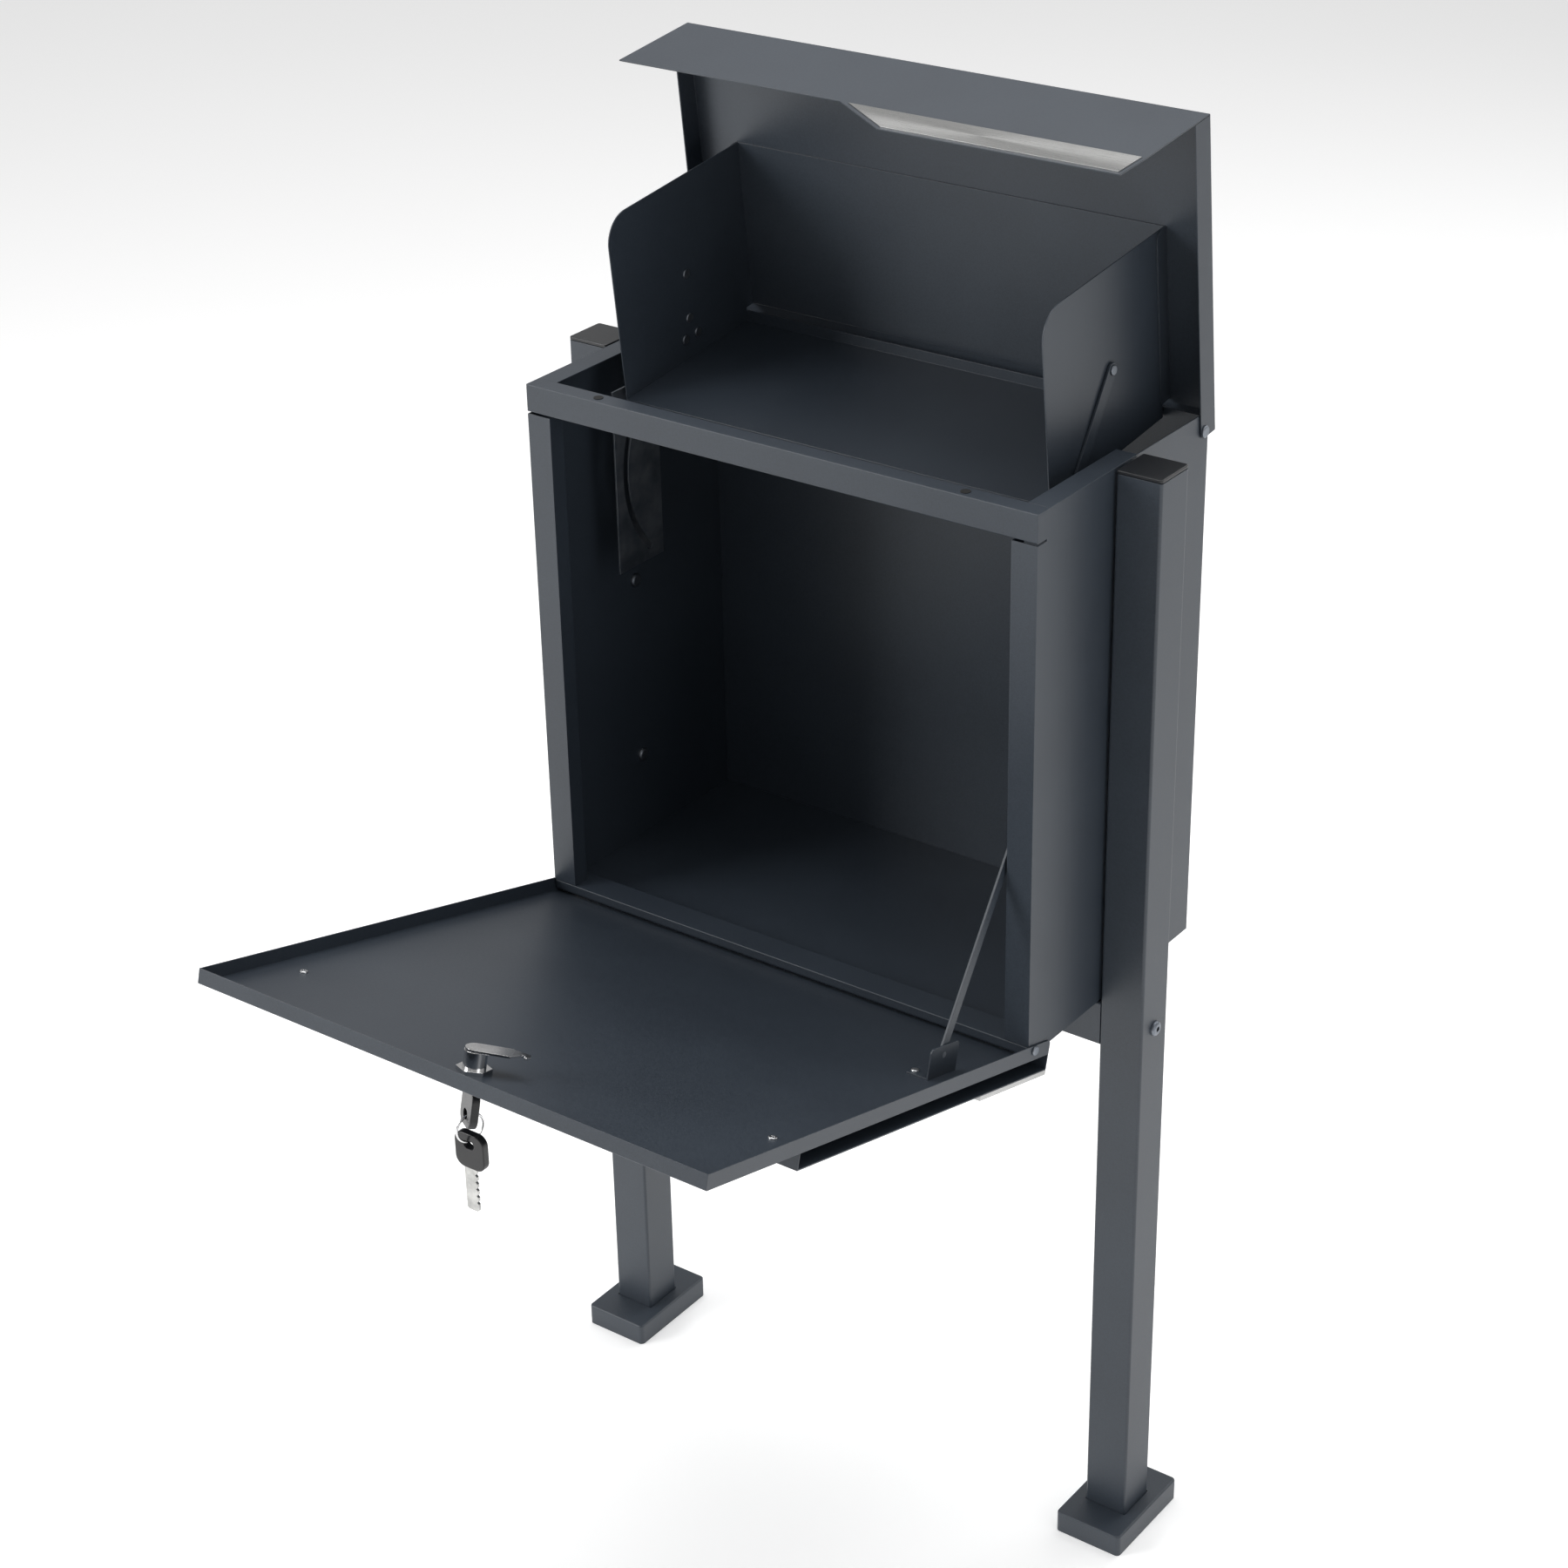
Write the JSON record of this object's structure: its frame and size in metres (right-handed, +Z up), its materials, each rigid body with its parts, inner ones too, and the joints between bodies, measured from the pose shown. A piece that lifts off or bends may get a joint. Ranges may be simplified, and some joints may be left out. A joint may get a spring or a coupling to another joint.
{
  "type": "parcel drop box",
  "caption": "Free-standing steel parcel drop box on posts: a tray swings down with the hinged lid into the cabinet, and a locked drop-down front door opens to empty it",
  "frame": {"origin": "on the ground, in the middle of the four anchor holes", "axes": "+Z up, -Y out of the front door, +X to the right seen from the front"},
  "size_m": [0.6, 0.6813, 1.2551],
  "materials": {
    "powder_coat": "fine-textured anthracite powder coat",
    "cap_plastic": "semi-gloss black",
    "bumper_rubber": "matt black",
    "brushed_plate": "brushed along its length",
    "zinc_steel": "dull grey zinc",
    "bright_screw": "bright zinc",
    "lock_chrome": "polished",
    "key_nickel": "satin nickel",
    "key_plastic": "gloss black"
  },
  "bodies": {
    "cabinet": {"left_side_panel": "powder_coat", "right_side_panel": "powder_coat", "back_panel": "powder_coat", "bottom_panel": "powder_coat", "front_top_rail": "powder_coat", "lid_bumpers": "bumper_rubber", "left_post": "powder_coat", "right_post": "powder_coat", "left_post_cap": "cap_plastic", "right_post_cap": "cap_plastic", "left_base_plate": "zinc_steel", "right_base_plate": "zinc_steel", "left_foot_cover": "powder_coat", "right_foot_cover": "powder_coat", "cross_rail": "powder_coat", "cross_rail_bolts": "zinc_steel", "box_screws": "zinc_steel", "box_spacers": "zinc_steel", "lid_hinge_rivets": "zinc_steel", "door_hinge_rivets": "zinc_steel", "left_arm_guide": "zinc_steel", "right_arm_guide": "zinc_steel", "door_stay_guide": "zinc_steel"},
    "lid": {"lid_cover": "powder_coat", "handle_plate": "brushed_plate", "tray_left_wall": "powder_coat", "tray_right_wall": "powder_coat", "tray_back_wall": "powder_coat", "tray_floor": "powder_coat", "tray_backing_plate": "powder_coat", "tray_rivets": "zinc_steel", "arm_pivot_rivets": "zinc_steel"},
    "left_arm": {"left_lid_arm": "powder_coat", "left_arm_pin": "zinc_steel"},
    "right_arm": {"right_lid_arm": "powder_coat", "right_arm_pin": "zinc_steel"},
    "door": {"door_pan": "powder_coat", "door_front_panel": "powder_coat", "door_trim": "brushed_plate", "door_panel_screws": "bright_screw", "stay_bracket": "powder_coat", "stay_bracket_screw": "bright_screw", "stay_rivet": "zinc_steel", "lock_barrel": "lock_chrome", "lock_nut": "lock_chrome"},
    "door_stay": {"door_stay_arm": "powder_coat", "door_stay_pin": "zinc_steel"},
    "lock_core": {"lock_plug": "lock_chrome", "lock_cam": "lock_chrome"},
    "key": {"key_blade": "key_nickel", "key_head": "key_plastic"},
    "ring": {"key_ring": "lock_chrome"},
    "spare_key": {"spare_key_blade": "key_nickel", "spare_key_head": "key_plastic"}
  },
  "joints": [
    {"name": "lid_hinge", "type": "hinge", "parent": "cabinet", "child": "lid", "pos_m": [0, 0.1165, 0.9965], "axis": [1, 0, 0], "range_deg": [0, 83.65]},
    {"name": "left_arm_pivot", "type": "hinge", "parent": "lid", "child": "left_arm", "pos_m": [0, 0.03705, 1.06483], "axis": [1, 0, 0], "range_deg": [-83.65, 0]},
    {"name": "right_arm_pivot", "type": "hinge", "parent": "lid", "child": "right_arm", "pos_m": [0, 0.03705, 1.06483], "axis": [1, 0, 0], "range_deg": [-83.65, 0]},
    {"name": "door_hinge", "type": "hinge", "parent": "cabinet", "child": "door", "pos_m": [0, -0.1197, 0.545], "axis": [1, 0, 0], "range_deg": [-74.7, 0]},
    {"name": "stay_pivot", "type": "hinge", "parent": "door", "child": "door_stay", "pos_m": [0, -0.21241, 0.58052], "axis": [1, 0, 0], "range_deg": [0, 106.12]},
    {"name": "lock_turn", "type": "hinge", "parent": "door", "child": "lock_core", "pos_m": [0.0016, -0.50919, 0.65155], "axis": [0, -0.2639, -0.9646], "range_deg": [0, 119.3]},
    {"name": "key_pull", "type": "slide", "parent": "lock_core", "child": "key", "axis": [0, -0.2639, -0.9646], "range_m": [0, 0.06]},
    {"name": "ring_swing", "type": "hinge", "parent": "key", "child": "ring", "pos_m": [0.00309, -0.52125, 0.61131], "axis": [0.309, 0.9511, 0], "range_deg": [-30, 30]},
    {"name": "spare_key_swing", "type": "hinge", "parent": "ring", "child": "spare_key", "pos_m": [0.00309, -0.52125, 0.58811], "axis": [0.309, 0.9511, 0], "range_deg": [-30, 30]}
  ],
  "couplings": [
    {"joint": "left_arm_pivot", "follows": "lid_hinge", "ratio": -1},
    {"joint": "right_arm_pivot", "follows": "lid_hinge", "ratio": -1},
    {"joint": "stay_pivot", "follows": "door_hinge", "ratio": -1.4203}
  ]
}
